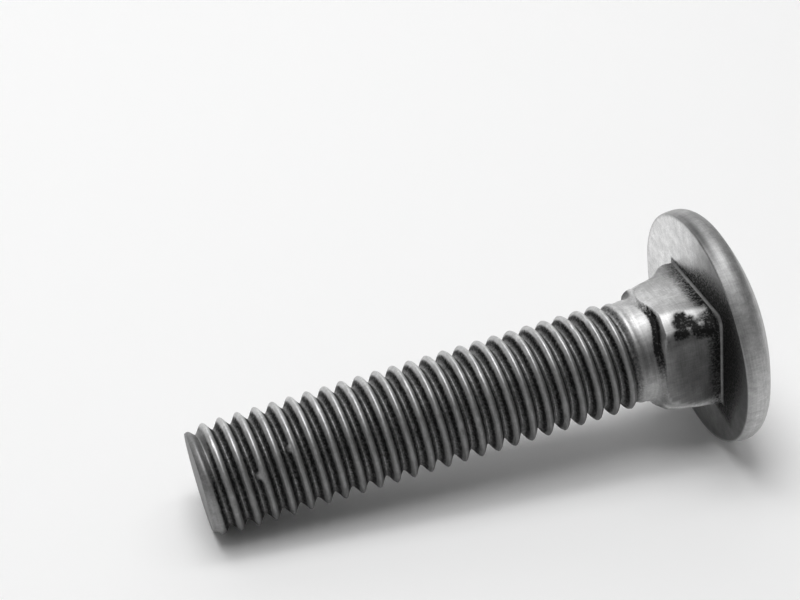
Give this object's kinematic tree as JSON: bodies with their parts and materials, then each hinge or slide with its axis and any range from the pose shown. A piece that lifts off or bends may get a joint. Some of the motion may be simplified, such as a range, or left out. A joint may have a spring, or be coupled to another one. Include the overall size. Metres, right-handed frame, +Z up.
{
  "type": "carriage bolt",
  "caption": "Round-head carriage bolt with a square locking neck, short plain shoulder and coarse right-hand thread.",
  "frame": {"origin": "on the surface the bolt lies on, under the middle of its bounding box", "axes": "+Z up, +X along the lying bolt towards its head, +Y across it"},
  "size_m": [0.064, 0.027, 0.0268],
  "materials": {
    "steel": "satin"
  },
  "bodies": {
    "root": {"carriage_bolt": "steel"}
  },
  "joints": []
}
